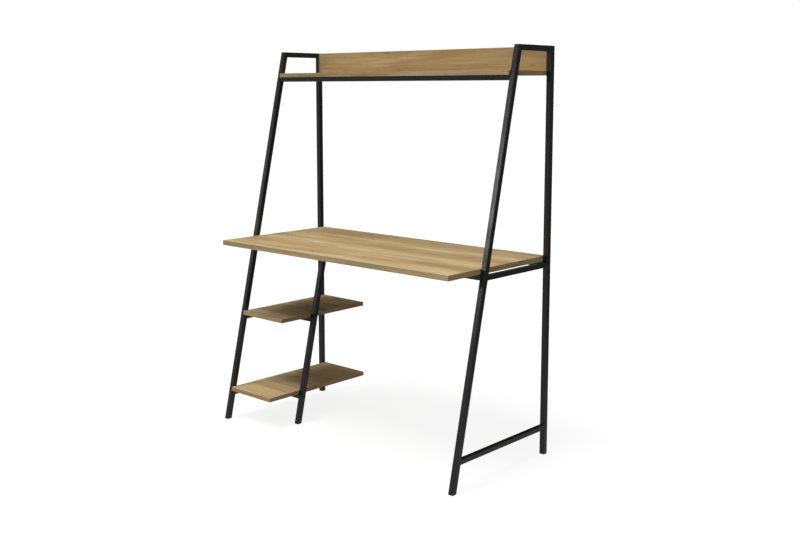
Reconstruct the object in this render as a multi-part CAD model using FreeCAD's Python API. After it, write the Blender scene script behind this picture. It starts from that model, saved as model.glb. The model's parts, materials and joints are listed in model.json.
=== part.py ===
import FreeCAD, Part
import math
import os

Vec = FreeCAD.Vector

# Overall sizes in millimetres: X along the desk, Y from front to back, Z up from the floor
WIDTH = 1200.0              # over the outer faces of the two side frames
HEIGHT = 1478.0             # floor to the top of the side frames
FOOT_DEPTH = 545.3          # rear face of the frames to the front edge of a front foot
TOP_DEPTH = 211.5           # rear face of the frames to their front corner at the top: sets the lean
INNER_SETBACK = 145.9       # front edge of a front foot back to the front edge of the inner leg's foot

# Square steel tube
TUBE = 20.0                 # side of the posts, legs and top rails
RAIL = 18.0                 # side of the rails between them
WALL = 1.2
TUBE_CORNER = 1.5           # rounding of the tubes' long edges

# Boards
DESK_DEPTH = 550.0          # front edge to back edge of the desktop
DESK_TOP = 735.0            # floor to the working surface
DESK_THICK = 19.0
SHELF_THICK = 16.0
UPPER_SHELF_TOP = 434.0
LOWER_SHELF_TOP = 130.0
SHELF_WIDTH = 236.0         # the two small shelves, along X
SHELF_LIP = 3.3             # how far a small shelf stands ahead of the front leg
TOP_SHELF_DROP = 86.5       # top of the frames down to the top shelf's upper face
TOP_SHELF_LIP = 6.3         # how far the top shelf stands ahead of the front legs
BACK_THICK = 16.0
BACK_DROP = 1.0             # top of the frames down to the back board's upper edge
BOARD_GAP = 1.0             # room between a board's end and the frame beside it
SHELF_LEG_GAP = 3.0         # room between the small shelves and the inner leg
BAND = 1.0                  # thickness of the bands glued on the boards' edges
BAND_ROUND = 0.4            # rounding of a band's two long outer edges

# Flat steel tabs that carry the boards, and the plate on the inner leg
TAB_THICK = 2.0             # also the gap between the side rails and the boards
TAB_LENGTH = 36.0
TAB_SEAT = 12.0             # how much of a tab lies on its rail
TAB_REACH = 28.0            # how far a tab reaches past its rail, under the board
TAB_INSET = 2.0             # from the tube at the rail's end to the tab
TAB_HOLE_INSET = 9.0        # from a tab's free end to its screw
TAB_ROUND = 3.0             # rounding of the corners of tabs and plate
BACK_TAB_HEIGHT = 24.0
BACK_TAB_REACH = 25.0
BACK_TAB_INSET = 2.0        # rear face of a post to the rear face of its tab
BACK_TAB_SHARES = (0.25, 0.75)
HEAD_PLATE_LENGTH = 62.0
HEAD_PLATE_WIDTH = 30.0

# Stubs that the loose rails slide over, and washers between the desk rails and the desktop
STUB_LENGTH = 40.0
STUB_WALL = 2.0
STUB_FIT = 0.3
WASHER_RADIUS = 8.0

# Plastic glides in the feet
GLIDE_FLANGE = 3.0
GLIDE_PLUG = 22.0
GLIDE_FIT = 0.15

# Wood screws, whose heads rest on tabs or inside rails, and headless screws that lock rails on their stubs
SCREW_RADIUS = 2.0
SCREW_BITE = 12.0           # depth of a screw in a board
SCREW_HEAD_RADIUS = 4.0
SCREW_HEAD = 1.8
SCREW_TIP = 3.0
SCREW_FIT = 0.1             # room round a shank or a head
ACCESS_FIT = 1.0            # room round a head in the hole that lets it into a rail
LOCK_BITE = 4.0             # how far a locking screw stands inside its stub
SLOT_WIDTH = 1.0            # cross slot of all screws
SLOT_DEPTH = 1.0

# Long screws and dowels between the back board and the top shelf
JOIN_RADIUS = 2.5
JOIN_BITE = 34.0            # depth of a long screw in the shelf
JOIN_HEAD_RADIUS = 3.5
JOIN_HEAD = 3.5
DOWEL_RADIUS = 4.0
DOWEL_LENGTH = 30.0
DOWEL_IN_BACK = 11.0        # depth of a dowel in the back board

# Screw places along the rails and boards, as shares of the length they follow
RAIL_SCREW_SHARES = (-0.8, 0.0, 0.8)
CROSS_SCREW_SHARES = (0.35, 0.75)
JOIN_SHARES = (-0.85, -0.3, 0.3, 0.85)
DOWEL_SHARES = (-0.6, 0.0, 0.6)

# Cutting tools reach well past everything they cut
REACH = 2 * (WIDTH + HEIGHT)

# Directions
RIGHT = Vec(1, 0, 0)
BACK = Vec(0, 1, 0)
UP = Vec(0, 0, 1)
AXES = (RIGHT, BACK, UP)
QUARTER_TURN = 90
SIDES = {"left": -1, "right": 1}
LEFT = SIDES["left"]

# Places along X, the same on both sides
FRAME_X = WIDTH / 2 - TUBE / 2
INSIDE_X = WIDTH / 2 - TUBE
BOARD_X = INSIDE_X - BOARD_GAP
RAIL_INNER_X = FRAME_X - RAIL / 2
TAB_OUTER_X = RAIL_INNER_X + TAB_SEAT
TAB_INNER_X = RAIL_INNER_X - TAB_REACH
TAB_HOLE_X = TAB_INNER_X + TAB_HOLE_INSET
SHELF_RIGHT_X = SHELF_WIDTH - BOARD_X
INNER_LEG_LEFT_X = SHELF_RIGHT_X + SHELF_LEG_GAP
INNER_LEG_X = INNER_LEG_LEFT_X + TUBE / 2

# Places along Y
REAR = DESK_DEPTH / 2
INNER_FOOT_DEPTH = FOOT_DEPTH - INNER_SETBACK
POST_FRONT = REAR - TUBE
POST_Y = REAR - TUBE / 2
BACK_TAB_REAR = REAR - BACK_TAB_INSET
BACK_REAR = BACK_TAB_REAR - TAB_THICK
BACK_FRONT = BACK_REAR - BACK_THICK

# Heights of the boards' undersides
DESK_UNDER = DESK_TOP - DESK_THICK
UPPER_UNDER = UPPER_SHELF_TOP - SHELF_THICK
LOWER_UNDER = LOWER_SHELF_TOP - SHELF_THICK
TOP_SHELF_TOP = HEIGHT - TOP_SHELF_DROP
TOP_UNDER = TOP_SHELF_TOP - SHELF_THICK
BACK_TOP = HEIGHT - BACK_DROP
PLATE_BOTTOM = DESK_UNDER - TAB_THICK
DESK_RAIL_BOTTOM = PLATE_BOTTOM - RAIL

# Lean of the front legs and the inner leg
LEAN_SLOPE = (FOOT_DEPTH - TOP_DEPTH) / HEIGHT
LEAN = math.atan(LEAN_SLOPE)
LEG_RUN = TUBE / math.cos(LEAN)     # front to back through a leg, measured level
LEG_NORMAL = Vec(0, -math.cos(LEAN), math.sin(LEAN))

STUB = RAIL - 2 * WALL - 2 * STUB_FIT
LOCK_LENGTH = WALL + STUB_FIT + STUB_WALL + LOCK_BITE


# Solids

def box(low, high):
    """A block between two opposite corners."""
    size = [b - a for a, b in zip(low, high)]
    return Part.makeBox(*size, Vec(*low))


def square_bar(side, length, corner=0):
    """A square bar that stands on the origin, its long edges rounded by corner."""
    bar = box((-side / 2, -side / 2, 0), (side / 2, side / 2, length))
    if corner:
        bar = bar.makeFillet(corner, edges_along(bar, UP))
    return bar


def square_tube(side, length):
    """A hollow square bar with rounded outer edges."""
    return square_bar(side, length, TUBE_CORNER).cut(square_bar(side - 2 * WALL, length))


def edges_along(shape, direction):
    """The straight edges of a block that run along an axis."""
    found = []
    for edge in shape.Edges:
        run = edge.Vertexes[-1].Point - edge.Vertexes[0].Point
        if run.cross(direction).Length < abs(run.dot(direction)):
            found.append(edge)
    return found


def along_x(bar, x, y, z):
    """Lay a bar along X, with its first end's centre at the point."""
    bar.rotate(Vec(), BACK, QUARTER_TURN)
    bar.translate(Vec(x, y, z))
    return bar


def along_y(bar, x, y, z):
    """Lay a bar along Y, with its front end's centre at the point."""
    bar.rotate(Vec(), RIGHT, -QUARTER_TURN)
    bar.translate(Vec(x, y, z))
    return bar


def upright(bar, x, y, lean, low, high):
    """Lean a long bar back from its foot's centre at x, y, and cut it level at two heights."""
    bar.translate(Vec(0, 0, -REACH / 2))
    bar.rotate(Vec(), RIGHT, -math.degrees(lean))
    bar.translate(Vec(x, y, 0))
    return bar.common(box((-REACH, -REACH, low), (REACH, REACH, high)))


def beyond(point, normal):
    """Everything on the far side of a plane: what a saw takes off."""
    block = box((-REACH / 2, -REACH / 2, 0), (REACH / 2, REACH / 2, REACH))
    block.Placement = FreeCAD.Placement(point, FreeCAD.Rotation(UP, normal))
    return block


def bore(point, direction, radius, length):
    """A round hole, or the peg that fills it."""
    return Part.makeCylinder(radius, length, Vec(*point), direction)


def cut_all(shape, tools):
    """The shape with every tool cut out of it."""
    for tool in tools:
        shape = shape.cut(tool)
    return shape


def screw(seat, direction, length, radius, head_radius, head):
    """A pointed screw with a slotted round head, whose head rests on the seat."""
    shank = bore(Vec(), UP, radius, length - SCREW_TIP)
    tip = Part.makeCone(radius, radius / 2, SCREW_TIP, UP * (length - SCREW_TIP))
    top = bore(-UP * head, UP, head_radius, head)
    arm = head_radius / 2
    half = SLOT_WIDTH / 2
    slots = [box((-arm, -half, -head), (arm, half, SLOT_DEPTH - head)),
             box((-half, -arm, -head), (half, arm, SLOT_DEPTH - head))]
    whole = cut_all(top.fuse([shank, tip]), slots).removeSplitter()
    whole.Placement = FreeCAD.Placement(Vec(*seat), FreeCAD.Rotation(UP, direction))
    return whole


# Places on the leaning legs

def leg_front(foot_depth, z):
    """Y of a leaning leg's front face at a height."""
    return REAR - foot_depth + LEAN_SLOPE * z


def leg_back(foot_depth, z):
    """Y of a leaning leg's rear face at a height."""
    return leg_front(foot_depth, z) + LEG_RUN


def leg_middle(foot_depth, z):
    """Y of a leaning leg's centre line at a height."""
    return leg_front(foot_depth, z) + LEG_RUN / 2


# Side frames

FRONT_CORNER = Vec(0, leg_front(FOOT_DEPTH, HEIGHT), HEIGHT)
FRONT_MITRE = Vec(0, TUBE, leg_back(FOOT_DEPTH, HEIGHT - TUBE) - leg_front(FOOT_DEPTH, HEIGHT))
REAR_CORNER = Vec(0, REAR, HEIGHT)
REAR_MITRE = Vec(0, -TUBE, TUBE)

# The level rails of each frame, by the height of the board that they carry or line up with
SIDE_RAILS = {
    "left": {"desk_rail": DESK_UNDER, "upper_shelf_rail": UPPER_UNDER, "lower_shelf_rail": LOWER_UNDER},
    "right": {"desk_rail": DESK_UNDER, "foot_rail": LOWER_UNDER},
}


def rear_post(side):
    """A vertical post, mitred at the top."""
    post = upright(square_tube(TUBE, REACH), side * FRAME_X, POST_Y, 0, GLIDE_FLANGE, HEIGHT)
    return post.cut(beyond(REAR_CORNER, REAR_MITRE))


def front_leg(side):
    """A leaning leg, cut level at the foot and mitred at the top."""
    foot = leg_middle(FOOT_DEPTH, 0)
    leg = upright(square_tube(TUBE, REACH), side * FRAME_X, foot, LEAN, GLIDE_FLANGE, HEIGHT)
    return leg.cut(beyond(FRONT_CORNER, FRONT_MITRE))


def top_rail(side):
    """The short level rail that joins a leg and a post, mitred at both ends."""
    rail = along_y(square_tube(TUBE, REACH), side * FRAME_X, -REACH / 2, HEIGHT - TUBE / 2)
    return cut_all(rail, [beyond(FRONT_CORNER, -FRONT_MITRE), beyond(REAR_CORNER, -REAR_MITRE)])


def side_rail(side, under):
    """A level rail from a leg's rear face to its post, whose tabs carry a board at a height."""
    bottom = under - TAB_THICK - RAIL
    start = leg_front(FOOT_DEPTH, bottom)
    rail = along_y(square_tube(RAIL, POST_FRONT - start), side * FRAME_X, start, bottom + RAIL / 2)
    return rail.cut(beyond(Vec(0, leg_back(FOOT_DEPTH, 0), 0), LEG_NORMAL))


def tab_middles(under):
    """Y of the middles of a side rail's tabs: by the post, and under the small shelves by the leg too."""
    inset = TAB_INSET + TAB_LENGTH / 2
    by_leg = leg_back(FOOT_DEPTH, under) + inset
    by_post = POST_FRONT - inset
    return (by_leg, by_post) if under < DESK_UNDER else (by_post,)


def tab_seats(side, under):
    """Where the screws of a side rail's tabs rest, under the tabs."""
    return [(side * TAB_HOLE_X, y, under - TAB_THICK) for y in tab_middles(under)]


def side_tabs(side, under):
    """The drilled tabs on a side rail."""
    tabs = []
    reach = sorted((side * TAB_INNER_X, side * TAB_OUTER_X))
    for y, seat in zip(tab_middles(under), tab_seats(side, under)):
        half = TAB_LENGTH / 2
        plate = box((reach[0], y - half, under - TAB_THICK), (reach[1], y + half, under))
        plate = plate.makeFillet(TAB_ROUND, edges_along(plate, UP))
        tabs.append(plate.cut(screw_bore(seat, UP, TAB_THICK)))
    return tabs


def glide(x, y, lean):
    """A plastic glide: a flange the tube stands on, and a plug inside the tube."""
    flange = upright(square_bar(TUBE, REACH, TUBE_CORNER), x, y, lean, 0, GLIDE_FLANGE)
    plug_side = TUBE - 2 * WALL - 2 * GLIDE_FIT
    plug = upright(square_bar(plug_side, REACH), x, y, lean, 0, GLIDE_FLANGE + GLIDE_PLUG)
    return flange.fuse(plug).removeSplitter()


def side_frame(name, side):
    """One welded side frame, with its tab for the desktop and its glides."""
    found = {
        name + "_rear_post": [rear_post(side)],
        name + "_front_leg": [front_leg(side)],
        name + "_top_rail": [top_rail(side)],
        name + "_desk_tab": side_tabs(side, DESK_UNDER),
        name + "_rear_glide": [glide(side * FRAME_X, POST_Y, 0)],
        name + "_front_glide": [glide(side * FRAME_X, leg_middle(FOOT_DEPTH, 0), LEAN)],
    }
    for rail, under in SIDE_RAILS[name].items():
        found[name + "_" + rail] = [side_rail(side, under)]
    return found


# Screws and their holes

def screw_bore(seat, direction, length):
    """The hole for a wood screw."""
    return bore(seat, direction, SCREW_RADIUS + SCREW_FIT, length)


def wood_screws(seats, direction, grip):
    """Screws that hold a board through a given thickness of steel."""
    sizes = (grip + SCREW_BITE, SCREW_RADIUS, SCREW_HEAD_RADIUS, SCREW_HEAD)
    return [screw(seat, direction, *sizes) for seat in seats]


def screw_bores(seats, direction, grip):
    """The holes for those screws, through the steel and into the board."""
    return [screw_bore(seat, direction, grip + SCREW_BITE + SCREW_FIT) for seat in seats]


# Loose rails, which slide over stubs on the frames

def cross_rail(low, high, y, bottom, bores):
    """A rail along X with its screw holes."""
    rail = along_x(square_tube(RAIL, high - low), low, y, bottom + RAIL / 2)
    return cut_all(rail, bores)


def access_bores(seats):
    """The holes in a rail's lower wall for screws whose heads rest inside the rail, under its upper wall."""
    radius = SCREW_HEAD_RADIUS + ACCESS_FIT
    return [bore((x, y, z + WALL - RAIL), UP, radius, WALL) for x, y, z in seats]


def stub(x, side, y, bottom):
    """A short tube on a frame's inner face; side is the way back to that frame."""
    body = square_bar(STUB, STUB_LENGTH).cut(square_bar(STUB - 2 * STUB_WALL, STUB_LENGTH))
    body = along_x(body, min(x, x - side * STUB_LENGTH), y, bottom + RAIL / 2)
    return cut_all(body, lock_bores([lock_seat(x, side, y, bottom)]))


def lock_seat(x, side, y, bottom):
    """Where a locking screw goes in, under its rail and half way along its stub."""
    return (x - side * STUB_LENGTH / 2, y, bottom)


def lock_bores(seats):
    """The holes for locking screws, through the rail's and the stub's lower walls."""
    return [screw_bore(seat, UP, LOCK_LENGTH + SCREW_FIT) for seat in seats]


def lock_screws(seats):
    """Locking screws without wider heads, flush with the rails' lower faces."""
    sizes = (LOCK_LENGTH - SCREW_HEAD, SCREW_RADIUS, SCREW_RADIUS, SCREW_HEAD)
    return [screw((x, y, z + SCREW_HEAD), UP, *sizes) for x, y, z in seats]


def washer(seat):
    """A drilled plastic washer that fills the gap between a desk rail and the desktop."""
    x, y, z = seat
    foot = (x, y, z + WALL)
    disc = bore(foot, UP, WASHER_RADIUS, TAB_THICK)
    return disc.cut(bore(foot, UP, SCREW_RADIUS + SCREW_FIT, TAB_THICK))


# Boards

FLAT_EDGES = (-BACK, BACK, -RIGHT, RIGHT)
TOP_SHELF_EDGES = (-BACK, -RIGHT, RIGHT)
BACK_EDGES = (UP, -UP, -RIGHT, RIGHT)


def banded_board(name, low, high, edges, bores):
    """A drilled board and the bands on its edges, given as their ways out in gluing order."""
    low, high = list(low), list(high)
    bands = []
    for out in edges:
        strip_low, strip_high = list(low), list(high)
        axis = [out.cross(line).Length for line in AXES].index(0)
        if out[axis] < 0:
            low[axis] += BAND
            strip_high[axis] = low[axis]
        else:
            high[axis] -= BAND
            strip_low[axis] = high[axis]
        bands.append(rounded_band(box(strip_low, strip_high), out))
    return {name: [cut_all(box(low, high), bores)], name + "_edge_bands": bands}


def rounded_band(strip, out):
    """A band with its two long outer edges rounded."""
    outer = max(strip.Faces, key=lambda face: face.CenterOfMass.dot(out))
    long_edges = sorted(outer.Edges, key=lambda edge: edge.Length)[-2:]
    return strip.makeFillet(BAND_ROUND, long_edges)


# Inner leg

PLATE_Y = leg_middle(INNER_FOOT_DEPTH, PLATE_BOTTOM)
PLATE_SCREW_X = HEAD_PLATE_LENGTH / 2 - TAB_HOLE_INSET
PLATE_SEATS = [(INNER_LEG_X + side * PLATE_SCREW_X, PLATE_Y, PLATE_BOTTOM) for side in SIDES.values()]


def inner_leg():
    """The leg beside the small shelves, with its glide and the plate under the desktop."""
    foot = leg_middle(INNER_FOOT_DEPTH, 0)
    tube = square_tube(TUBE, REACH)
    half_length, half_width = HEAD_PLATE_LENGTH / 2, HEAD_PLATE_WIDTH / 2
    plate = box((INNER_LEG_X - half_length, PLATE_Y - half_width, PLATE_BOTTOM),
                (INNER_LEG_X + half_length, PLATE_Y + half_width, DESK_UNDER))
    plate = plate.makeFillet(TAB_ROUND, edges_along(plate, UP))
    return {
        "inner_leg": [upright(tube, INNER_LEG_X, foot, LEAN, GLIDE_FLANGE, PLATE_BOTTOM)],
        "inner_leg_head_plate": [cut_all(plate, screw_bores(PLATE_SEATS, UP, TAB_THICK))],
        "inner_glide": [glide(INNER_LEG_X, foot, LEAN)],
        "head_plate_screws": wood_screws(PLATE_SEATS, UP, TAB_THICK),
    }


# Rails from frame to frame, as (Y of the centre line, height of the lower face)

LONG_RAILS = {
    "desk_front_rail": (leg_middle(FOOT_DEPTH, DESK_RAIL_BOTTOM + RAIL / 2), DESK_RAIL_BOTTOM),
    "desk_rear_rail": (POST_Y, DESK_RAIL_BOTTOM),
    "top_shelf_rail": (leg_middle(FOOT_DEPTH, TOP_UNDER - RAIL / 2), TOP_UNDER - RAIL),
}


def long_rail_seats(name):
    """Where the screws of such a rail rest, inside the rail and under its upper wall."""
    y, bottom = LONG_RAILS[name]
    return [(share * BOARD_X, y, bottom + RAIL - WALL) for share in RAIL_SCREW_SHARES]


def long_rail_locks(name):
    """Where its two locking screws go in."""
    y, bottom = LONG_RAILS[name]
    return [lock_seat(side * INSIDE_X, side, y, bottom) for side in SIDES.values()]


def long_rail(name, grip):
    """The rail and the stubs it slides over."""
    y, bottom = LONG_RAILS[name]
    seats = long_rail_seats(name)
    bores = screw_bores(seats, UP, grip) + access_bores(seats) + lock_bores(long_rail_locks(name))
    return {
        name: [cross_rail(-INSIDE_X, INSIDE_X, y, bottom, bores)],
        name + "_stubs": [stub(side * INSIDE_X, side, y, bottom) for side in SIDES.values()],
    }


# Desktop

DESK_GRIP = WALL + TAB_THICK
DESK_SEATS = long_rail_seats("desk_front_rail") + long_rail_seats("desk_rear_rail")
DESK_TAB_SEATS = [seat for side in SIDES.values() for seat in tab_seats(side, DESK_UNDER)]


def desktop():
    """The desktop with its two rails, washers and screws."""
    bores = screw_bores(DESK_SEATS, UP, DESK_GRIP)
    bores += screw_bores(DESK_TAB_SEATS + PLATE_SEATS, UP, TAB_THICK)
    found = banded_board("desktop", (-BOARD_X, REAR - DESK_DEPTH, DESK_UNDER), (BOARD_X, REAR, DESK_TOP),
                         FLAT_EDGES, bores)
    found.update(long_rail("desk_front_rail", DESK_GRIP))
    found.update(long_rail("desk_rear_rail", DESK_GRIP))
    found["desk_rail_washers"] = [washer(seat) for seat in DESK_SEATS]
    found["desk_rail_screws"] = wood_screws(DESK_SEATS, UP, DESK_GRIP)
    found["desk_tab_screws"] = wood_screws(DESK_TAB_SEATS, UP, TAB_THICK)
    return found


# Small shelves on the left, each on two tabs and a rail to the inner leg

SMALL_SHELVES = {"upper_shelf": UPPER_UNDER, "lower_shelf": LOWER_UNDER}


def cross_rail_y(under):
    """Y of the centre line of the rail under a small shelf: the middle of the inner leg."""
    return leg_middle(INNER_FOOT_DEPTH, under - RAIL / 2)


def cross_rail_seats(under):
    """Where the screws of that rail rest, inside the rail and under its upper wall."""
    run = INNER_LEG_LEFT_X + RAIL_INNER_X
    return [(share * run - RAIL_INNER_X, cross_rail_y(under), under - WALL) for share in CROSS_SCREW_SHARES]


def cross_rail_lock(under):
    """Where its locking screw goes in, at the frame's end."""
    return lock_seat(-RAIL_INNER_X, LEFT, cross_rail_y(under), under - RAIL)


def small_shelf(name, under):
    """A small shelf with its rail to the inner leg and its tabs on the left frame."""
    y, bottom = cross_rail_y(under), under - RAIL
    seats = cross_rail_seats(under)
    bores = screw_bores(seats, UP, WALL)
    front = leg_front(FOOT_DEPTH, under) - SHELF_LIP
    found = banded_board(name, (-BOARD_X, front, under), (SHELF_RIGHT_X, REAR, under + SHELF_THICK),
                         FLAT_EDGES, bores + screw_bores(tab_seats(LEFT, under), UP, TAB_THICK))
    rail_bores = bores + access_bores(seats) + lock_bores([cross_rail_lock(under)])
    found[name + "_cross_rail"] = [cross_rail(-RAIL_INNER_X, INNER_LEG_LEFT_X, y, bottom, rail_bores)]
    found[name + "_cross_rail_stub"] = [stub(-RAIL_INNER_X, LEFT, y, bottom)]
    found[name + "_tabs"] = side_tabs(LEFT, under)
    found[name + "_rail_screws"] = wood_screws(seats, UP, WALL)
    found[name + "_tab_screws"] = wood_screws(tab_seats(LEFT, under), UP, TAB_THICK)
    return found


# Back board on tabs between the posts, and the top shelf screwed and doweled to it

SHELF_MIDDLE = TOP_UNDER + SHELF_THICK / 2
JOIN_LENGTH = BACK_THICK - JOIN_HEAD + JOIN_BITE
JOIN_SEATS = [(share * BOARD_X, BACK_REAR - JOIN_HEAD, SHELF_MIDDLE) for share in JOIN_SHARES]
DOWEL_ENDS = [(share * BOARD_X, BACK_FRONT + DOWEL_IN_BACK, SHELF_MIDDLE) for share in DOWEL_SHARES]
BACK_TAB_HEIGHTS = [TOP_UNDER + share * (BACK_TOP - TOP_UNDER) for share in BACK_TAB_SHARES]
BACK_TAB_HOLE_X = INSIDE_X - BACK_TAB_REACH + TAB_HOLE_INSET


def back_tab_seats():
    """Where the back board's screws rest, behind its tabs."""
    return [(side * BACK_TAB_HOLE_X, BACK_TAB_REAR, z) for side in SIDES.values() for z in BACK_TAB_HEIGHTS]


def back_tab(seat):
    """A drilled tab on a post's inner face, behind the back board."""
    x, y, z = seat
    side = math.copysign(1, x)
    low_x, high_x = sorted((side * INSIDE_X, side * (INSIDE_X - BACK_TAB_REACH)))
    half = BACK_TAB_HEIGHT / 2
    plate = box((low_x, BACK_REAR, z - half), (high_x, y, z + half))
    plate = plate.makeFillet(TAB_ROUND, edges_along(plate, BACK))
    return plate.cut(screw_bore(seat, -BACK, TAB_THICK))


def join_bores():
    """The holes for the long screws, with room for their heads, and for the dowels."""
    bores = dowels()
    for seat in JOIN_SEATS:
        bores.append(bore(seat, -BACK, JOIN_RADIUS + SCREW_FIT, JOIN_LENGTH + SCREW_FIT))
        bores.append(bore(seat, BACK, JOIN_HEAD_RADIUS + SCREW_FIT, JOIN_HEAD))
    return bores


def dowels():
    """The dowels between the back board and the top shelf."""
    return [bore(end, -BACK, DOWEL_RADIUS, DOWEL_LENGTH) for end in DOWEL_ENDS]


def top_boards():
    """The back board and the top shelf, with everything that holds them."""
    bores = screw_bores(back_tab_seats(), -BACK, TAB_THICK) + join_bores()
    found = banded_board("back_board", (-BOARD_X, BACK_FRONT, TOP_UNDER), (BOARD_X, BACK_REAR, BACK_TOP),
                         BACK_EDGES, bores)
    seats = long_rail_seats("top_shelf_rail")
    bores = screw_bores(seats, UP, WALL) + join_bores()
    front = leg_front(FOOT_DEPTH, TOP_UNDER) - TOP_SHELF_LIP
    found.update(banded_board("top_shelf", (-BOARD_X, front, TOP_UNDER),
                              (BOARD_X, BACK_FRONT, TOP_SHELF_TOP), TOP_SHELF_EDGES, bores))
    found.update(long_rail("top_shelf_rail", WALL))
    found["top_shelf_screws"] = wood_screws(seats, UP, WALL)
    found["top_shelf_joining_screws"] = [
        screw(seat, -BACK, JOIN_LENGTH, JOIN_RADIUS, JOIN_HEAD_RADIUS, JOIN_HEAD) for seat in JOIN_SEATS]
    found["top_shelf_dowels"] = dowels()
    found["back_board_tabs"] = [back_tab(seat) for seat in back_tab_seats()]
    found["back_board_screws"] = wood_screws(back_tab_seats(), -BACK, TAB_THICK)
    return found


# The whole desk, one file for each node

def desk():
    """Every node of the desk by name, each a list of solids."""
    found = {}
    for name, side in SIDES.items():
        found.update(side_frame(name, side))
    found.update(inner_leg())
    found.update(desktop())
    for name, under in SMALL_SHELVES.items():
        found.update(small_shelf(name, under))
    found.update(top_boards())
    locks = [seat for name in LONG_RAILS for seat in long_rail_locks(name)]
    locks += [cross_rail_lock(under) for under in SMALL_SHELVES.values()]
    found["rail_locking_screws"] = lock_screws(locks)
    return found


nodes = desk()
os.makedirs("parts", exist_ok=True)
for name, shapes in nodes.items():
    solids = [solid for shape in shapes for solid in shape.Solids]
    whole = solids[0] if len(solids) == 1 else Part.makeCompound(solids)
    whole.exportStep("parts/" + name + ".step")
    print(name, "solids:", len(solids), "valid:", whole.isValid())
print("nodes:", len(nodes))
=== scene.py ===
# %% [markdown]
# Dressing a ladder desk
#
# The desk's construction comes ready made: every tube, board, glide and screw is a solid of its own, at
# its real size. This lesson gives those solids their finishes, lights them and looks at them from the
# side that the photograph shows. Nothing of the construction is moved here, so the first step is to load
# it.

# %% Load the desk
import json
import math

import bmesh
import bpy
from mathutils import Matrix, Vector

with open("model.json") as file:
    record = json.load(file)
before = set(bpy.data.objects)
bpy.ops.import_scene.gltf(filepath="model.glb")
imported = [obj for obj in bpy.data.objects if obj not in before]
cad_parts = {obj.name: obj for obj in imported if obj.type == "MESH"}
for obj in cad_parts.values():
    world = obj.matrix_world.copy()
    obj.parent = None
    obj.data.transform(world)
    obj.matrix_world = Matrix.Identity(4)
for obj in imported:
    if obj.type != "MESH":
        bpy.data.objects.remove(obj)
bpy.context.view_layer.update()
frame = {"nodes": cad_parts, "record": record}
nodes = frame["nodes"]


# %% [markdown]
# The camera
#
# A picture of furniture is easiest to match when the camera stands where the photographer's stood: about
# two metres past the desk's right end and two and a half in front of it, at the height of the chest.
# Upright posts stay upright when the camera looks level and the picture is slid down on the sensor, but
# a large slide would push the desk out of every other view. So most of the drop is a tilt of the camera,
# and only a small slide is left.

# %% Stand the camera
CAMERA_PLACE = Vector((2.646, -2.769, 1.329))
CAMERA_TURN = math.radians(42.38)
CAMERA_TILT = math.radians(7.65)
CAMERA_LENS_MM = 46.12
CAMERA_SENSOR_MM = 36
CAMERA_SLIDE = -0.05

camera_data = bpy.data.cameras.new("photo_camera")
camera_data.sensor_width = CAMERA_SENSOR_MM
camera_data.lens = CAMERA_LENS_MM
camera_data.shift_y = CAMERA_SLIDE
camera = bpy.data.objects.new("photo_camera", camera_data)
camera.location = CAMERA_PLACE
camera.rotation_euler = (math.pi / 2 - CAMERA_TILT, 0, CAMERA_TURN)
bpy.context.scene.collection.objects.link(camera)
bpy.context.scene.camera = camera
print("camera at", tuple(CAMERA_PLACE), "with a lens of", CAMERA_LENS_MM, "mm")

# %% [markdown]
# Colours as they are
#
# A new scene is shown through a view that bends colours as film does: whites turn grey and strong
# colours pale. On a white ground that is seen at once. The view called Standard bends nothing, so a
# colour comes out as its material and its light make it.

# %% Choose the plain view
bpy.context.scene.view_settings.view_transform = "Standard"
bpy.context.scene.view_settings.look = "None"
print("view transform:", bpy.context.scene.view_settings.view_transform)

# %% [markdown]
# Wiring nodes
#
# Every finish below is a small network of shader nodes. It could be drawn by hand in the shader editor,
# but a script gives the same network on every run. Placing and linking one node takes several lines, so
# a few helpers shorten that: they feed a socket with a value or with another socket, place a node and
# feed it, and add a sum. Other helpers follow where they are first needed.

# %% Helpers that place nodes
def feed(tree, socket, value):
    """Link another socket to this one, or set its value."""
    if isinstance(value, bpy.types.NodeSocket):
        tree.links.new(value, socket)
    else:
        socket.default_value = value


def feed_by_name(tree, node, sockets):
    """Feed a node's inputs by name; an underscore stands for a space."""
    for name, value in sockets.items():
        feed(tree, node.inputs[name.replace("_", " ")], value)


def place(tree, kind, **sockets):
    """Add a node and feed its inputs by name."""
    node = tree.nodes.new(kind)
    feed_by_name(tree, node, sockets)
    return node


def reckon(tree, operation, *terms):
    """One sum on one, two or three values."""
    node = tree.nodes.new("ShaderNodeMath")
    node.operation = operation
    for socket, term in zip(node.inputs, terms):
        feed(tree, socket, term)
    return node.outputs["Value"]


print("node helpers ready")

# %% [markdown]
# The floor
#
# The desk stands on a plain pale studio floor, which in such pictures melts into the white behind it. No
# edge of it may show from any side, so it is one very large flat sheet.

# %% The sheet of floor
FLOOR_HALF = 60.0
FLOOR_SQUARES = 8

floor_mesh = bpy.data.meshes.new("studio_floor")
floor_build = bmesh.new()
bmesh.ops.create_grid(floor_build, x_segments=FLOOR_SQUARES, y_segments=FLOOR_SQUARES, size=FLOOR_HALF)
floor_build.to_mesh(floor_mesh)
floor_build.free()
floor = bpy.data.objects.new("studio_floor", floor_mesh)
bpy.context.scene.collection.objects.link(floor)
print("floor of", 2 * FLOOR_HALF, "m")

# %% [markdown]
# The floor's finish
#
# A studio floor is lit from all round. It could be white paint under many more lamps, but so white a
# floor would throw much light up under the boards and into the black tubes. Here the paint is darker and
# glows by itself, so that only faint shadows are left on it. The Light Path node tells which kind of ray
# looks at the floor. So the camera sees the glowing one, faces are lit by one without a glow, and gloss
# mirrors one that grows dim towards the rear right.

# %% Helpers for clouds of colour
def surface_spot(tree):
    """The point of the surface, in the desk's own X, Y and Z in metres."""
    return place(tree, "ShaderNodeTexCoord").outputs["Object"]


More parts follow.
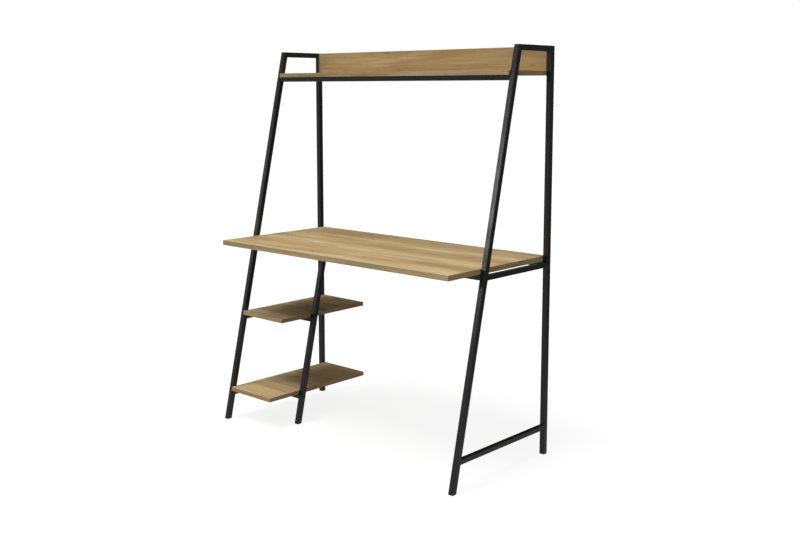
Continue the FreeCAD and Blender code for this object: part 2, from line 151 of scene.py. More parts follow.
def blots(tree, vector, per_metre, detail, roughness=0.5):
    """A cloudy noise between 0 and 1, mostly near one half."""
    settings = {"Scale": per_metre, "Detail": detail, "Roughness": roughness}
    return place(tree, "ShaderNodeTexNoise", Vector=vector, **settings).outputs["Fac"]


def between(tree, value, low, high):
    """0 below low, 1 above high and a smooth rise in between."""
    node = place(tree, "ShaderNodeMapRange", Value=value, From_Min=low, From_Max=high)
    node.interpolation_type = "SMOOTHSTEP"
    return node.outputs["Result"]


def mix(tree, data_type, suffix, share, first, second):
    """Two colours or two vectors mixed: the first at share 0, the second at share 1."""
    node = tree.nodes.new("ShaderNodeMix")
    node.data_type = data_type
    given = {socket.identifier: socket for socket in node.inputs}
    feed(tree, given["Factor_Float"], share)
    feed(tree, given["A_" + suffix], first)
    feed(tree, given["B_" + suffix], second)
    made = {socket.identifier: socket for socket in node.outputs}
    return made["Result_" + suffix]


def mix_colours(tree, share, first, second):
    """The first colour, with a share of the second laid over it."""
    return mix(tree, "RGBA", "Color", share, first, second)


print("cloud helpers ready")

# %% The floor that the camera sees
FLOOR_GLOW = 0.86
FLOOR_PALE = (0.17, 0.17, 0.169, 1)
FLOOR_PALE_CLOUD = (0.155, 0.155, 0.154, 1)
# Clouds: how many per metre, and their detail
FLOOR_CLOUDS = (2.5, 4)
FLOOR_CLOUD_RISE = (0.3, 0.7)


def floor_seen(tree, spot):
    """Pale paint with faint clouds, and a glow of its own."""
    clouds = between(tree, blots(tree, spot, *FLOOR_CLOUDS), *FLOOR_CLOUD_RISE)
    paint = mix_colours(tree, clouds, FLOOR_PALE, FLOOR_PALE_CLOUD)
    lit = place(tree, "ShaderNodeBsdfDiffuse", Color=paint)
    glow = place(tree, "ShaderNodeEmission", Strength=FLOOR_GLOW)
    both = tree.nodes.new("ShaderNodeAddShader")
    feed(tree, both.inputs[0], lit.outputs["BSDF"])
    feed(tree, both.inputs[1], glow.outputs["Emission"])
    return both.outputs["Shader"]


print("floor glows with", FLOOR_GLOW)

# %% The floor that gloss mirrors
FLOOR_IN_GLOSS = 0.50
FLOOR_IN_GLOSS_FAR = 0.16
FLOOR_DIMS_TOWARDS = Vector((0.6, 0.8, 0.0))
FLOOR_DIMS_RISE = (-0.5, 3.2)


def reckon_vectors(tree, operation, first, second):
    """One sum on two vectors."""
    node = tree.nodes.new("ShaderNodeVectorMath")
    node.operation = operation
    feed(tree, node.inputs[0], first)
    feed(tree, node.inputs[1], second)
    return node.outputs


def dot(tree, first, second):
    """How far one vector reaches along another."""
    return reckon_vectors(tree, "DOT_PRODUCT", first, second)["Value"]


def floor_mirrored(tree, spot):
    """A glow that dims towards the rear right."""
    dim = between(tree, dot(tree, spot, FLOOR_DIMS_TOWARDS), *FLOOR_DIMS_RISE)
    strength = reckon(tree, "MULTIPLY_ADD", dim, FLOOR_IN_GLOSS_FAR - FLOOR_IN_GLOSS, FLOOR_IN_GLOSS)
    return place(tree, "ShaderNodeEmission", Strength=strength).outputs["Emission"]


print("gloss mirrors a floor of", FLOOR_IN_GLOSS, "to", FLOOR_IN_GLOSS_FAR)

# %% One floor for each kind of ray
FLOOR_THROWN_BACK = (0.16, 0.16, 0.16, 1)


def mix_shaders(tree, share, first, second):
    """The first shader at share 0, the second at share 1."""
    node = tree.nodes.new("ShaderNodeMixShader")
    for socket, value in zip(node.inputs, (share, first, second)):
        feed(tree, socket, value)
    return node.outputs["Shader"]


def floor_finish():
    """A white studio floor: glowing to the camera, darker to faces and to gloss."""
    material = bpy.data.materials.new("studio_floor")
    material.use_nodes = True
    tree = material.node_tree
    tree.nodes.clear()
    spot = surface_spot(tree)
    ray = place(tree, "ShaderNodeLightPath").outputs
    thrown_back = place(tree, "ShaderNodeBsdfDiffuse", Color=FLOOR_THROWN_BACK).outputs["BSDF"]
    unseen = mix_shaders(tree, ray["Is Glossy Ray"], thrown_back, floor_mirrored(tree, spot))
    mixed = mix_shaders(tree, ray["Is Camera Ray"], unseen, floor_seen(tree, spot))
    place(tree, "ShaderNodeOutputMaterial", Surface=mixed)
    return material


floor_mesh.materials.append(floor_finish())
print("floor finished in", floor_mesh.materials[0].name)

# %% [markdown]
# The lamps
#
# Furniture is usually shown under one large soft light above its front: tops are bright, fronts a little
# darker, and whatever lies under the desktop falls into soft shade. Weaker lights from the right and from
# behind keep the other sides from going black. Area lamps could do that, but their light fades with the
# distance. Sun lamps with a wide disc act like soft boxes so far away that they are the same everywhere.
# Black tubes show hardly any light but what they mirror, so two small lamps at the front left are seen in
# gloss alone: they draw the grey sheen on the legs.

# %% The far lamps
# Name: compass angle from the front (positive to the right), height angle, strength, softness, and
# whether it lights faces and is mirrored in gloss.
# Angles are in degrees. Strength is the brightness of white paper that is held square to the lamp.
FAR_LAMPS = {
    "overhead_box": (-15, 69, 0.75, 28, True, True),
    "right_fill": (70, 18, 0.13, 60, True, True),
    "rear_fill": (200, 8, 0.14, 36, True, False),
    "sheen_box": (-37, 14.6, 0.034, 7, False, True),
    "left_sheen_box": (-50, 10, 0.005, 7, False, True),
}


def way_to(compass, height):
    """The direction from the desk to a place given by its compass and height angles."""
    around = math.radians(compass)
    up = math.radians(height)
    return Vector((math.sin(around) * math.cos(up), -math.cos(around) * math.cos(up), math.sin(up)))


def far_lamp(name, compass, height, strength, softness, on_faces, in_gloss):
    """A sun lamp with a wide disc, which lights like a far soft box."""
    lamp = bpy.data.lights.new(name, "SUN")
    lamp.energy = strength * math.pi
    lamp.angle = math.radians(softness)
    holder = bpy.data.objects.new(name, lamp)
    holder.rotation_euler = way_to(compass, height).to_track_quat("Z", "Y").to_euler()
    holder.visible_diffuse = on_faces
    holder.visible_glossy = in_gloss
    bpy.context.scene.collection.objects.link(holder)


for lamp_name, settings in FAR_LAMPS.items():
    far_lamp(lamp_name, *settings)
print("far lamps:", ", ".join(FAR_LAMPS))

# %% [markdown]
# The room
#
# Between the lamps there is the light of the room itself, which a scene keeps in its world. A bright
# ceiling and a white wall at the front left fill the shade. Gloss also finds a faint glow at the right,
# which keeps the right sides of the tubes from vanishing. A picture of a room could light the desk, but
# three soft patches by direction are enough and are easy to change. The camera sees plain white behind
# the desk, whatever the room gives off.

# %% The room's own light
ROOM_LOW = 0.01
ROOM_HIGH = 0.90
CEILING_RISE = (0.45, 1.0)
WALL_GLOW = 0.42
WALL_WAY = way_to(-22, 8)
WALL_RISE = (0.65, 0.95)
RIGHT_IN_GLOSS = 0.18
RIGHT_RISE = (0.15, 0.60)
ROOM_SEEN = 1.0
WHITE = (1, 1, 1, 1)


def room_glow(tree, ray):
    """The room's brightness by direction: floor to ceiling, the wall, and the right in gloss."""
    direction = place(tree, "ShaderNodeTexCoord").outputs["Generated"]
    reach = place(tree, "ShaderNodeSeparateXYZ", Vector=direction).outputs
    ceiling = between(tree, reach["Z"], *CEILING_RISE)
    wall = between(tree, dot(tree, direction, WALL_WAY), *WALL_RISE)
    right = reckon(tree, "MULTIPLY", between(tree, reach["X"], *RIGHT_RISE), ray["Is Glossy Ray"])
    glow = reckon(tree, "MULTIPLY_ADD", ceiling, ROOM_HIGH - ROOM_LOW, ROOM_LOW)
    glow = reckon(tree, "MULTIPLY_ADD", wall, WALL_GLOW, glow)
    return reckon(tree, "MULTIPLY_ADD", right, RIGHT_IN_GLOSS, glow)


def room_light():
    """A world that lights the desk with the room's glow and shows plain white to the camera."""
    world = bpy.data.worlds.new("studio_room")
    bpy.context.scene.world = world
    world.use_nodes = True
    tree = world.node_tree
    tree.nodes.clear()
    ray = place(tree, "ShaderNodeLightPath").outputs
    glow = room_glow(tree, ray)
    missing = reckon(tree, "SUBTRACT", ROOM_SEEN, glow)
    strength = reckon(tree, "MULTIPLY_ADD", ray["Is Camera Ray"], missing, glow)
    background = place(tree, "ShaderNodeBackground", Color=WHITE, Strength=strength)
    place(tree, "ShaderNodeOutputWorld", Surface=background.outputs["Background"])


room_light()
print("room light from", ROOM_LOW, "at the floor to", ROOM_HIGH, "overhead, wall", WALL_GLOW)

# %% [markdown]
# Which way the grain runs
#
# The boards are chipboard under a printed oak skin, with the grain along the desk. The thin bands glued
# on their edges carry the same print along the band, also round the ends, where a solid plank would show
# end grain. Each mesh could be unwrapped for that, but the meshes have to stay as they are. So the
# coordinates for the print are the desk's own X, Y and Z in metres, and wherever a surface faces left or
# right they are turned to run along the band. A node group is a network that many materials can share,
# so one group does that for every board and band.

# %% Helper for node groups
def new_group(name, inputs, outputs):
    """An empty shader node group with named sockets, and the sockets of its two end nodes."""
    group = bpy.data.node_groups.new(name, "ShaderNodeTree")
    for title, kind, value in inputs:
        socket = group.interface.new_socket(title, in_out="INPUT", socket_type="NodeSocket" + kind)
        socket.default_value = value
    for title, kind in outputs:
        group.interface.new_socket(title, in_out="OUTPUT", socket_type="NodeSocket" + kind)
    start = group.nodes.new("NodeGroupInput")
    end = group.nodes.new("NodeGroupOutput")
    return group, start.outputs, end.inputs


print("group helper ready")

# %% Node group: grain direction
END_FACING = 0.7


def mix_vectors(tree, share, first, second):
    """The first vector at share 0, the second at share 1."""
    return mix(tree, "VECTOR", "Vector", share, first, second)


def shift(tree, vector, way):
    """Coordinates moved by another vector."""
    return reckon_vectors(tree, "ADD", vector, way)["Vector"]


def grain_direction_group():
    """Coordinates whose X runs along the grain, on faces, edges and ends."""
    group, given, made = new_group(
        "grain_direction",
        [("Offset", "Vector", (0, 0, 0)), ("Upright Board", "Float", 0.0)],
        [("Vector", "Vector")],
    )
    spot = surface_spot(group)
    x, y, z = place(group, "ShaderNodeSeparateXYZ", Vector=spot).outputs
    along_y = place(group, "ShaderNodeCombineXYZ", X=y, Y=x, Z=z).outputs["Vector"]
    along_z = place(group, "ShaderNodeCombineXYZ", X=z, Y=y, Z=x).outputs["Vector"]
    facing = place(group, "ShaderNodeNewGeometry").outputs["True Normal"]
    facing_x = place(group, "ShaderNodeSeparateXYZ", Vector=facing).outputs["X"]
    is_end = reckon(group, "GREATER_THAN", reckon(group, "ABSOLUTE", facing_x), END_FACING)
    at_end = mix_vectors(group, given["Upright Board"], along_y, along_z)
    turned = mix_vectors(group, is_end, spot, at_end)
    feed(group, made["Vector"], shift(group, turned, given["Offset"]))
    return group


grain_direction = grain_direction_group()
print("made group", grain_direction.name)

# %% [markdown]
# The figure of oak
#
# Oak seen from a step away is long streaks of pale straw, amber and brown. Closer up come the growth
# rings, which run out in pointed arches, then fine lines, rows of short dark dashes and the odd crack,
# faint ripples left by the saw, and last the pores, which are finer than a hair. A picture of oak could
# be wrapped round the boards, but nodes can give each board its own piece of the tree and stay sharp at
# any distance. Each layer is a noise that is stretched along the grain. The rings are the height lines of
# a very stretched noise, which close in arches as real ones do.

# %% The layers of the figure
# Layer: blots per metre along and across the grain, detail, roughness, and the values where it starts
# and is full.
OAK_LAYERS = {
    "zones": (0.9, 8.0, 2, 0.50, 0.40, 0.60),
    "clear": (2.6, 17.0, 5, 0.60, 0.50, 0.64),
    "amber": (3.6, 18.0, 5, 0.60, 0.50, 0.64),
    "streaks": (1.3, 15.0, 6, 0.60, 0.47, 0.61),
    "lines": (4.0, 110.0, 4, 0.62, 0.49, 0.62),
    "hairlines": (9.0, 420.0, 2, 0.50, 0.50, 0.66),
    "ripples": (110.0, 7.0, 2, 0.50, 0.46, 0.68),
    "patches": (5.0, 9.0, 1, 0.50, 0.46, 0.64),
    "dashes": (17.0, 210.0, 2, 0.50, 0.56, 0.66),
    "rows": (1.2, 34.0, 2, 0.50, 0.52, 0.62),
    "cracks": (6.0, 150.0, 3, 0.50, 0.66, 0.76),
    "hair_pores": (45.0, 1150.0, 2, 0.50, 0.55, 0.70),
}


def stretch(tree, vector, along, across):
    """Coordinates in which a round blot turns into a streak along X."""
    return reckon_vectors(tree, "MULTIPLY", vector, (along, across, across))["Vector"]


def streaks(tree, vector, along, across, detail, roughness=0.5):
    """A noise of streaks along X, with so many per metre along and across."""
    return blots(tree, stretch(tree, vector, along, across), 1.0, detail, roughness)


def oak_layer(group, grain, name):
    """One layer of the figure: 0 where it is absent, 1 where it is full."""
    along, across, detail, roughness, low, high = OAK_LAYERS[name]
    return between(group, streaks(group, grain, along, across, detail, roughness), low, high)


print("layers of the figure:", ", ".join(OAK_LAYERS))

# %% Slipped fibres and growth rings
# Streaks: how many per metre along and across the grain, their detail and, for the fibres, roughness
FIBRES = (2.5, 170.0, 3, 0.6)
FIBRE_SLIP = 0.55
FIBRE_SWAY = 0.045
NOISE_MIDDLE = 0.5
RING_HILLS = (0.5, 5.0, 1)
RING_UNREST = (4.0, 110.0, 2)
RINGS_PER_HILL = 26.0
RING_SHAKE = 0.9
RING_FADE = 2.4


def left_over(tree, share):
    """What a share leaves of the whole."""
    return reckon(tree, "SUBTRACT", 1.0, share)


def feathered(group, grain):
    """Coordinates in which bundles of fibres have slipped, so that wide streaks end in fine points."""
    unsteady = reckon(group, "SUBTRACT", streaks(group, grain, *FIBRES), NOISE_MIDDLE)
    return shift(group, grain, stretch(group, unsteady, FIBRE_SLIP, FIBRE_SWAY))


def ring_layer(group, grain):
    """Growth rings: each starts dark and fades, at the height lines of a stretched noise."""
    hills = streaks(group, grain, *RING_HILLS)
    unrest = reckon(group, "MULTIPLY", streaks(group, grain, *RING_UNREST), RING_SHAKE)
    phase = reckon(group, "MULTIPLY_ADD", hills, RINGS_PER_HILL, unrest)
    return reckon(group, "POWER", left_over(group, reckon(group, "FRACT", phase)), RING_FADE)


print("up to", RINGS_PER_HILL, "growth rings on a hill of the noise")

# %% [markdown]
# Printing the oak
#
# A print of wood is laid in coats, the wide pale ones first and the fine dark ones last. The group does
# the same: it starts with a straw ground and mixes each layer over it with its own strength. A single
# mixture of all layers would be shorter, but then the dark dashes would sink under the streaks. The group
# also puts out where the pores are and how deep, for the gloss and the relief.

# %% The masks of the print
WIDE_LAYERS = ("zones", "clear", "amber", "streaks")
PORES_ON_RINGS = 0.65
PORES_EVERYWHERE = 0.35


def oak_masks(group, grain):
    """Every layer of the figure by name, and those that are made of two."""
    bundles = feathered(group, grain)
    mask = {}
    for name in OAK_LAYERS:
        mask[name] = oak_layer(group, bundles if name in WIDE_LAYERS else grain, name)
    mask["rings"] = ring_layer(group, grain)
    mask["sawn"] = reckon(group, "MULTIPLY", mask["ripples"], mask["patches"])
    mask["flecks"] = reckon(group, "MULTIPLY", mask["dashes"], mask["rows"])
    porous = reckon(group, "MULTIPLY_ADD", mask["rings"], PORES_ON_RINGS, PORES_EVERYWHERE)
    mask["pores"] = reckon(group, "MULTIPLY", mask["hair_pores"], porous)
    return mask


print("wide layers with feathered ends:", ", ".join(WIDE_LAYERS))

# %% Node group: oak figure
OAK_PALE = (0.599, 0.452, 0.236, 1)
OAK_WARM = (0.462, 0.315, 0.130, 1)
OAK_BROWN = (0.292, 0.170, 0.066, 1)
OAK_TINTS = {"clear": (0.680, 0.545, 0.325, 1), "amber": (0.430, 0.262, 0.098, 1)}
# Coat: how much it covers of what lies below, in the order in which the coats are laid
OAK_COATS = {
    "clear": 0.66,
    "amber": 0.62,
    "streaks": 0.60,
    "lines": 0.26,
    "hairlines": 0.16,
    "rings": 0.12,
    "sawn": 0.16,
    "pores": 0.40,
    "flecks": 0.85,
    "cracks": 0.72,
}


def oak_figure_group():
    """Printed oak: its colour, its pores and their depth, from grain coordinates in metres."""
    group, given, made = new_group(
        "oak_figure",
        [
            ("Vector", "Vector", (0, 0, 0)),
            ("Pale", "Color", OAK_PALE),
            ("Warm", "Color", OAK_WARM),
            ("Brown", "Color", OAK_BROWN),
        ],
        [("Color", "Color"), ("Pores", "Float"), ("Depth", "Float")],
    )
    mask = oak_masks(group, given["Vector"])
    colour = mix_colours(group, mask["zones"], given["Pale"], given["Warm"])
    for name, strength in OAK_COATS.items():
        share = reckon(group, "MULTIPLY", mask[name], strength)
        colour = mix_colours(group, share, colour, OAK_TINTS.get(name, given["Brown"]))
    sunk = reckon(group, "MAXIMUM", mask["pores"], mask["cracks"])
    feed(group, made["Color"], colour)
    feed(group, made["Pores"], mask["pores"])
    feed(group, made["Depth"], left_over(group, sunk))
    return group


oak_figure = oak_figure_group()
print("made group", oak_figure.name, "of", len(OAK_COATS), "coats")

# %% [markdown]
# Worn and highlighted edges
#
# Edges are where hands, cloths and boxes touch first, so coats grow thin and shiny or pale there. Wear
# could be painted on each mesh, but the renderer can find edges by itself: its Bevel node gives the
# normal that the surface would have if its edges were rounded, and where that differs from the true
# normal there is an edge. A noise breaks the line up, since no edge wears evenly. On the oak the same
# mask also lays a painted highlight along the edges, where light would catch.

# %% Node group: edge wear and highlight
EDGE_REACH = 0.0008
EDGE_SAMPLES = 6
EDGE_RISE = (0.02, 0.22)
# Chips: how many per metre, their detail and roughness
EDGE_CHIPS = (55.0, 4, 0.6)
EDGE_CHIP_RISE = (0.38, 0.62)
EDGE_CHIPPED = 0.7
EDGE_STEADY = 0.3


def edge_wear_and_highlight_group():
    """A mask of a narrow strip along edges, as wide as the reach says, broken up by a noise."""
    group, given, made = new_group("edge_wear_and_highlight", [("Reach", "Float", EDGE_REACH)], [("Wear", "Float")])
    rounded = place(group, "ShaderNodeBevel", Radius=given["Reach"])
    rounded.samples = EDGE_SAMPLES
    facing = place(group, "ShaderNodeNewGeometry").outputs["Normal"]
    likeness = dot(group, rounded.outputs["Normal"], facing)
    edge = between(group, left_over(group, likeness), *EDGE_RISE)
    spot = surface_spot(group)
    chips = between(group, blots(group, spot, *EDGE_CHIPS), *EDGE_CHIP_RISE)
    uneven = reckon(group, "MULTIPLY_ADD", chips, EDGE_CHIPPED, EDGE_STEADY)
    feed(group, made["Wear"], reckon(group, "MULTIPLY", edge, uneven))
    return group


edge_wear_and_highlight = edge_wear_and_highlight_group()
print("made group", edge_wear_and_highlight.name)

# %% [markdown]
# Handled faces
#
# Wiping and handling leave a faint unevenness of gloss on every smooth coat: broad smudges, and fine
# marks in the direction of the cloth. They have no colour of their own, so a mask is enough, which each
# material uses as strongly as it needs. Two noises make it, a round one and a stretched one.

# %% Node group: handling
SMUDGES_PER_METRE = 9.0
SMUDGE_DETAIL = 3
SMUDGE_RISE = (0.35, 0.65)
SMUDGE_SHARE = 0.6
# Wipe marks: how many per metre along and across, and their detail
WIPE_MARKS = (40.0, 260.0, 3)
WIPE_SHARE = 0.4


def handling_group():
    """Broad smudges and fine wipe marks, between 0 and 1."""
    group, given, made = new_group(
        "handling", [("Scale", "Float", SMUDGES_PER_METRE)], [("Smudge", "Float")]
    )
    spot = surface_spot(group)
    broad = between(group, blots(group, spot, given["Scale"], SMUDGE_DETAIL), *SMUDGE_RISE)
    smudges = reckon(group, "MULTIPLY", broad, SMUDGE_SHARE)
    wiped = streaks(group, spot, *WIPE_MARKS)
    feed(group, made["Smudge"], reckon(group, "MULTIPLY_ADD", wiped, WIPE_SHARE, smudges))
    return group


handling = handling_group()
print("made group", handling.name)

# %% [markdown]
# Boards and bands
#
# Boards like these are cut from different places of a long print. So one function makes the oak, and
# each board calls it with its own offset, so that no two boards repeat each other. The bands are plastic
# with much the same print, cut from another length of it, a little duller, and paler on their rounded
# corners: partly their own paleness, partly a painted highlight where light catches. Over the print of
# every board lies a thin painted sheen of pale straw, which stands in for the lamps' gloss, the desktop
# the most.

# %% Helpers for finishes
def new_finish(name):
    """A material, its node tree and the sockets of its Principled shader."""
    material = bpy.data.materials.new(name)
    material.use_nodes = True
    tree = material.node_tree
    return material, tree, tree.nodes["Principled BSDF"].inputs


def place_group(tree, group, **sockets):
    """A node group placed in a material, with its own values."""
    node = tree.nodes.new("ShaderNodeGroup")
    node.node_tree = group
    feed_by_name(tree, node, sockets)
    return node.outputs


def bump(tree, height, distance, strength):
    """A normal bent by a height."""
    node = place(tree, "ShaderNodeBump", Height=height, Distance=distance, Strength=strength)
    return node.outputs["Normal"]


print("finish helpers ready")

# %% The oak finish
# A pale line along the oak's edges: partly the boards' own paleness, partly a painted highlight
OAK_EDGE_PALE_AND_HIGHLIGHT = (0.700, 0.565, 0.370, 1)
OAK_EDGE_SHARE = 0.75
# A pale straw sheen painted over the print, which stands in for the lamps' gloss on the boards
OAK_PAINTED_SHEEN = (1.000, 0.940, 0.600, 1)
BOARD_SMUDGES_PER_METRE = 7.0
SMUDGES_DULL = 0.12
PORES_DULL = 0.15
PORE_DEPTH = 0.00012
PORE_BUMP = 0.5
BOARD_GLOSS = 0.35


def oak_finish(name, offset, upright, painted_sheen, pale, warm, roughness, reach):
    """Printed oak under a painted sheen, paler along its edges as far as reach, partly a painted
    highlight.
    """
    material, tree, coat = new_finish(name)
    grain = place_group(tree, grain_direction, Offset=offset, Upright_Board=float(upright))["Vector"]
    figure = place_group(tree, oak_figure, Vector=grain, Pale=pale, Warm=warm, Brown=OAK_BROWN)
    wear = place_group(tree, edge_wear_and_highlight, Reach=reach)["Wear"]
    smudge = place_group(tree, handling, Scale=BOARD_SMUDGES_PER_METRE)["Smudge"]
    # The edge mask lays a pale line that is partly a painted highlight where light would catch
    pale_and_highlit_edge = reckon(tree, "MULTIPLY", wear, OAK_EDGE_SHARE)
    # The painted sheen: a share of pale straw laid over the print in place of the lamps' gloss
    print_under_sheen = mix_colours(tree, painted_sheen, figure["Color"], OAK_PAINTED_SHEEN)
    feed(tree, coat["Base Color"], mix_colours(tree, pale_and_highlit_edge, print_under_sheen, OAK_EDGE_PALE_AND_HIGHLIGHT))
    dull = reckon(tree, "MULTIPLY_ADD", smudge, SMUDGES_DULL, roughness)
    feed(tree, coat["Roughness"], reckon(tree, "MULTIPLY_ADD", figure["Pores"], PORES_DULL, dull))
    feed(tree, coat["Normal"], bump(tree, figure["Depth"], PORE_DEPTH, PORE_BUMP))
    coat["Specular IOR Level"].default_value = BOARD_GLOSS
    return material


# The colour printed here is that of the painted sheen
print("oak finish ready, with a haze of", OAK_PAINTED_SHEEN)

# %% One finish for each board and one for its bands
BOARD_SKIN = {"pale": OAK_PALE, "warm": OAK_WARM, "roughness": 0.40, "reach": 0.0009}
BAND_PALE = (0.600, 0.443, 0.229, 1)
BAND_WARM = (0.482, 0.328, 0.145, 1)
BAND_SKIN = {"pale": BAND_PALE, "warm": BAND_WARM, "roughness": 0.44, "reach": 0.0022}
BAND_CUT = 2.1
# Board: where in the tree its print comes from, whether it stands upright, and how much painted sheen
# lies over its print
BOARDS = {
    "desktop": ((16.960, 19.100, 19.265), False, 0.052),
    "top_shelf": ((-4.200, 2.300, 0.400), False, 0.010),
    "back_board": ((22.795, 19.745, 18.990), True, 0.014),
    "upper_shelf": ((20.833, 18.815, 19.566), False, 0.042),
    "lower_shelf": ((22.533, 20.095, 19.870), False, 0.030),
}

finishes = {}
for board, (offset, upright, painted_sheen) in BOARDS.items():
    bands = board + "_edge_bands"
    band_offset = tuple(metres + BAND_CUT for metres in offset)
    finishes[board] = oak_finish(board + "_oak", offset, upright, painted_sheen, **BOARD_SKIN)
    finishes[bands] = oak_finish(bands + "_oak", band_offset, upright, painted_sheen, **BAND_SKIN)
print("oak finishes:", len(finishes))

# %% [markdown]
# Pebbled skins
#
# Sprayed powder and moulded plastic share one look: a skin finely pebbled like orange peel. The pebbles
# are less than a millimetre across and far too many to model, so they are a relief from two noises, a
# fine one and a wider one under it. The fine one also gives a faint speckle of colour.

# %% Node group: pebbled skin
PEBBLE = 0.0008
PEBBLE_DETAIL = 2
WIDE_PEBBLE_DETAIL = 1
WIDE_PEBBLE_SHARE = 0.22
WIDE_PEBBLE_HEIGHT = 0.6
SPECKLE_RISE = (0.35, 0.65)


def pebbled_skin_group():
    """The fine relief of sprayed or moulded surfaces, with a speckle of the same size."""
    group, given, made = new_group(
        "pebbled_skin", [("Pebble", "Float", PEBBLE)], [("Height", "Float"), ("Speckle", "Float")]
    )
    spot = surface_spot(group)
    per_metre = reckon(group, "DIVIDE", 1.0, given["Pebble"])
    wide_per_metre = reckon(group, "MULTIPLY", per_metre, WIDE_PEBBLE_SHARE)
    fine = blots(group, spot, per_metre, PEBBLE_DETAIL)
    wide = blots(group, spot, wide_per_metre, WIDE_PEBBLE_DETAIL)
    feed(group, made["Height"], reckon(group, "MULTIPLY_ADD", wide, WIDE_PEBBLE_HEIGHT, fine))
    feed(group, made["Speckle"], between(group, fine, *SPECKLE_RISE))
    return group


pebbled_skin = pebbled_skin_group()
print("made group", pebbled_skin.name)

# %% [markdown]
# Black powder coat
#
# The frames are welded, then sprayed with dry powder and baked. That leaves a satin black skin, which
# thins a little over sharp corners. A plain black paint would be quicker, but a pure black swallows the
# shape of the tubes. So the colour is a very dark grey with a speckle and smudges in it, and the edges
# are a little greyer.

# %% Powder coat on the frames
DARK_EDGE_REACH = 0.0012
DARK_EDGE_SHARE = 0.35
DARK_SMUDGES_PER_METRE = 12.0
SPECKLE_GREYS = 0.35
SMUDGES_GREY = 0.65
PEBBLE_BUMP = 0.4


def dark_skin_finish(name, dark, grey, edge, pebble, relief, roughness):
    """A dark pebbled skin whose edges are a little greyer."""
    material, tree, coat = new_finish(name)
    skin = place_group(tree, pebbled_skin, Pebble=pebble)
    wear = place_group(tree, edge_wear_and_highlight, Reach=DARK_EDGE_REACH)["Wear"]
    smudge = place_group(tree, handling, Scale=DARK_SMUDGES_PER_METRE)["Smudge"]
    smudged = reckon(tree, "MULTIPLY", smudge, SMUDGES_GREY)
    tone = reckon(tree, "MULTIPLY_ADD", skin["Speckle"], SPECKLE_GREYS, smudged)
    body = mix_colours(tree, tone, dark, grey)
    worn = reckon(tree, "MULTIPLY", wear, DARK_EDGE_SHARE)
    feed(tree, coat["Base Color"], mix_colours(tree, worn, body, edge))
    feed(tree, coat["Roughness"], reckon(tree, "MULTIPLY_ADD", smudge, SMUDGES_DULL, roughness))
    feed(tree, coat["Normal"], bump(tree, skin["Height"], relief, PEBBLE_BUMP))
    return material


finishes["black_frame"] = dark_skin_finish(
    "black_powder_coat",
    dark=(0.0042, 0.0042, 0.0043, 1),
    grey=(0.0080, 0.0080, 0.0082, 1),
    edge=(0.040, 0.040, 0.041, 1),
    pebble=0.0007,
    relief=0.00004,
    roughness=0.18,
)
print("made", finishes["black_frame"].name)

# %% [markdown]
# Moulded plastic
#
# The glides under the feet and the washers under the desktop are black plastic from a mould. Its skin is
# pebbled too, but finer, duller and a shade greyer than the coat on the frames. So the same function
# makes it from other values.

# %% Plastic for glides and washers
finishes["black_plastic"] = dark_skin_finish(
    "black_moulded_plastic",
    dark=(0.0090, 0.0090, 0.0092, 1),
    grey=(0.0160, 0.0160, 0.0165, 1),
    edge=(0.050, 0.050, 0.052, 1),
    pebble=0.0004,
    relief=0.00004,
    roughness=0.50,
)
print("made", finishes["black_plastic"].name)

# %% [markdown]
# Zinc on the screws
#
# The screws are steel under a thin coat of zinc, cool in colour and slightly cloudy, with fine turning
# marks. The marks could be cut into the mesh, but they are far too fine to be seen one by one. One noise
# for the clouds and one for the marks are enough at that size.

# %% Zinc
ZINC_BRIGHT = (0.640, 0.650, 0.670, 1)
ZINC_CLOUDY = (0.480, 0.480, 0.470, 1)
# Clouds: how many per metre, and their detail
ZINC_CLOUDS = (420.0, 3)
ZINC_CLOUD_RISE = (0.35, 0.65)
ZINC_CLOUDS_DULL = 0.14
ZINC_ROUGHNESS = 0.28
ZINC_EDGE_REACH = 0.0003
# Turning marks: how many per metre along and across, and their detail
TURNING_MARKS = (900.0, 5200.0, 2)
TURNING_MARK_DEPTH = 0.00002
TURNING_MARK_BUMP = 0.35


def zinc_finish():
    """Zinc plated steel, a little cloudy."""
    material, tree, coat = new_finish("zinc_plate")
    spot = surface_spot(tree)
    clouds = between(tree, blots(tree, spot, *ZINC_CLOUDS), *ZINC_CLOUD_RISE)
    marks = streaks(tree, spot, *TURNING_MARKS)
    wear = place_group(tree, edge_wear_and_highlight, Reach=ZINC_EDGE_REACH)["Wear"]
    body = mix_colours(tree, clouds, ZINC_BRIGHT, ZINC_CLOUDY)
    dull = reckon(tree, "MULTIPLY_ADD", clouds, ZINC_CLOUDS_DULL, ZINC_ROUGHNESS)
    feed(tree, coat["Base Color"], mix_colours(tree, wear, body, ZINC_BRIGHT))
    feed(tree, coat["Roughness"], dull)
    feed(tree, coat["Normal"], bump(tree, marks, TURNING_MARK_DEPTH, TURNING_MARK_BUMP))
    coat["Metallic"].default_value = 1.0
    return material


finishes["zinc_screw"] = zinc_finish()
print("made", finishes["zinc_screw"].name)

# %% [markdown]
# Beech for the dowels
#
# The dowels that lock the top shelf to the back board are turned from beech: pale pink brown, with short
# darker flecks along the grain. The oak group would be too lively for pieces as thin as a pencil. So they
# have a small network of their own, with one noise for the zones of colour and one for the flecks.

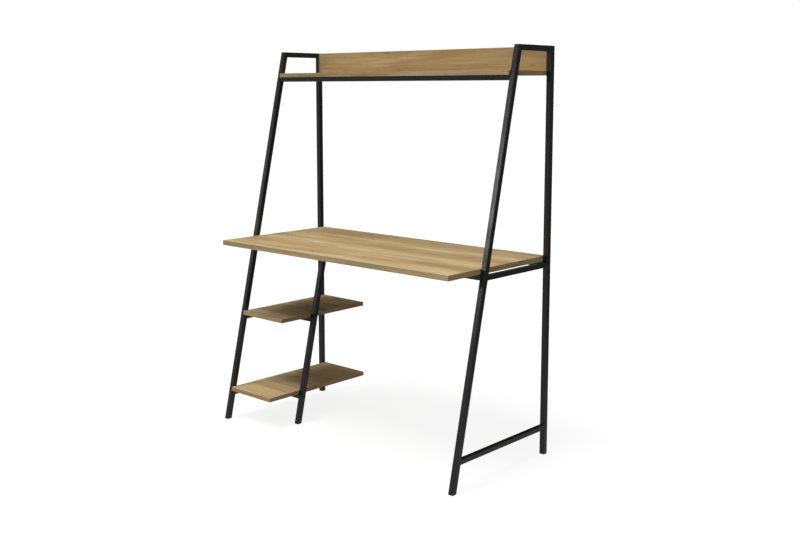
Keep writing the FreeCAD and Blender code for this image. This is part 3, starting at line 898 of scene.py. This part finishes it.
# %% Beech
BEECH_PALE = (0.560, 0.360, 0.220, 1)
BEECH_WARM = (0.480, 0.290, 0.165, 1)
BEECH_FLECK = (0.270, 0.140, 0.070, 1)
# Zones and flecks: how many per metre along and across the grain, and their detail
BEECH_ZONES = (8.0, 160.0, 3)
BEECH_ZONE_RISE = (0.35, 0.65)
BEECH_ZONE_DEPTH = 0.0001
BEECH_ZONE_BUMP = 0.3
BEECH_FLECKS = (260.0, 1800.0, 2)
BEECH_FLECK_RISE = (0.60, 0.70)
BEECH_FLECKS_DULL = 0.1
BEECH_ROUGHNESS = 0.55


def beech_finish():
    """Turned beech, with the grain along the dowel."""
    material, tree, coat = new_finish("beech_dowel")
    spot = surface_spot(tree)
    x, y, z = place(tree, "ShaderNodeSeparateXYZ", Vector=spot).outputs
    grain = place(tree, "ShaderNodeCombineXYZ", X=y, Y=x, Z=z).outputs["Vector"]
    zones = between(tree, streaks(tree, grain, *BEECH_ZONES), *BEECH_ZONE_RISE)
    flecks = between(tree, streaks(tree, grain, *BEECH_FLECKS), *BEECH_FLECK_RISE)
    body = mix_colours(tree, zones, BEECH_PALE, BEECH_WARM)
    dull = reckon(tree, "MULTIPLY_ADD", flecks, BEECH_FLECKS_DULL, BEECH_ROUGHNESS)
    feed(tree, coat["Base Color"], mix_colours(tree, flecks, body, BEECH_FLECK))
    feed(tree, coat["Roughness"], dull)
    feed(tree, coat["Normal"], bump(tree, zones, BEECH_ZONE_DEPTH, BEECH_ZONE_BUMP))
    return material


finishes["beech_dowel"] = beech_finish()
print("finishes in all:", len(finishes))

# %% [markdown]
# Putting the finishes on
#
# Every node of the construction names a material slot in its record: frame, board, band, plastic, screw
# or dowel. Boards and bands take the finish made for that very board, and all other nodes the one of
# their slot. The finishes could be put on by hand, but a loop over the record forgets no screw. Only the
# material slots of the objects change, never their meshes.

# %% Dress every node
slot_of = {part["node"]: part["material_slot"] for part in frame["record"]["subparts"]}
for name, node in nodes.items():
    for material_slot in node.material_slots:
        material_slot.material = finishes.get(name) or finishes[slot_of[name]]
print("dressed", len(nodes), "nodes")
